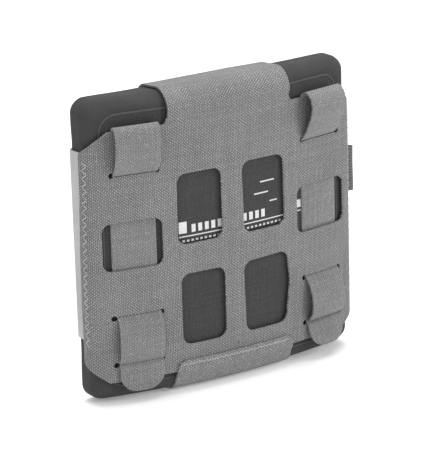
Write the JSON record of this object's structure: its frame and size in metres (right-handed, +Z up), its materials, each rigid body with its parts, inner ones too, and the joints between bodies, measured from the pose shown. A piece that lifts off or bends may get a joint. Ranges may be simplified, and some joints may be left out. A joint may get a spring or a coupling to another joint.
{
  "type": "protective plate in webbing-grid pouch",
  "caption": "Rounded square padded protector plate with a curved front, held in a laser-cut fabric pouch with woven attachment straps, a top flap and a bottom strap.",
  "frame": {"origin": "middle of the flat underside of the bottom strap, at half of the plate's thickness", "axes": "+X to the wearer's view right along the width, -Y out of the curved front, +Z up to the flap"},
  "size_m": [0.1741, 0.037, 0.165],
  "materials": {
    "panel_laminate": "matt laser-cut woven laminate",
    "strap_laminate": "matt laser-cut woven laminate, finer weave",
    "gusset_fabric": "smooth light grey elastic band",
    "cover_face": "fine diagonal weave",
    "cover_band": "soft brushed edge band",
    "cover_welt": "folded seam",
    "strike_face": "unglazed",
    "fibre_pack": "pressed fibre sheet",
    "foam": "closed-cell foam",
    "thread": "sewing thread",
    "loop_tape": "fuzzy loop pile",
    "hook_tape": "moulded hooks",
    "tab_webbing": "ribbed narrow webbing"
  },
  "bodies": {
    "pouch": {"plate_core": "strike_face", "plate_backer": "fibre_pack", "comfort_foam": "foam", "plate_cover_front": "cover_face", "plate_cover_band": "cover_band", "plate_cover_back": "cover_face", "plate_seam_front": "cover_welt", "plate_seam_back": "cover_welt", "front_panel": "panel_laminate", "back_panel": "panel_laminate", "side_gusset_left": "gusset_fabric", "side_gusset_right": "gusset_fabric", "bottom_strap": "strap_laminate", "strap_left": "strap_laminate", "strap_right": "strap_laminate", "back_loop_patch": "loop_tape", "side_tab_anchor": "tab_webbing", "edge_stitching_left": "thread", "edge_stitching_right": "thread", "bottom_strap_stitching": "thread", "back_strap_stitching": "thread", "tab_bartack": "thread"},
    "flap": {"top_flap": "panel_laminate"},
    "flap_tail": {"flap_tail": "panel_laminate", "flap_hook_patch": "hook_tape", "flap_tail_stitching": "thread"},
    "tail_left": {"strap_tail_left": "strap_laminate"},
    "tail_right": {"strap_tail_right": "strap_laminate"},
    "webbing_tab": {"side_webbing_tab": "tab_webbing"}
  },
  "joints": [
    {"name": "flap_hinge", "type": "hinge", "parent": "pouch", "child": "flap", "pos_m": [0, -0.01508, 0.14905], "axis": [1, 0, 0], "range_deg": [0, 120]},
    {"name": "flap_tail_hinge", "type": "hinge", "parent": "flap", "child": "flap_tail", "pos_m": [0, 0.0164, 0.1499], "axis": [1, 0, 0], "range_deg": [0, 80]},
    {"name": "left_tail_hinge", "type": "hinge", "parent": "pouch", "child": "tail_left", "pos_m": [-0.05743, -0.01113, 0.0216], "axis": [-0.9847, 0.1745, 0], "range_deg": [0, 85], "stiffness_Nm_per_rad": 0.002},
    {"name": "right_tail_hinge", "type": "hinge", "parent": "pouch", "child": "tail_right", "pos_m": [0.05743, -0.01113, 0.0216], "axis": [-0.9847, -0.1745, 0], "range_deg": [-12, 70], "stiffness_Nm_per_rad": 0.002},
    {"name": "side_tab_hinge", "type": "hinge", "parent": "pouch", "child": "webbing_tab", "pos_m": [0.0841, 0.0074, 0.0967], "axis": [0, 0, 1], "range_deg": [-60, 60], "stiffness_Nm_per_rad": 0.01}
  ]
}
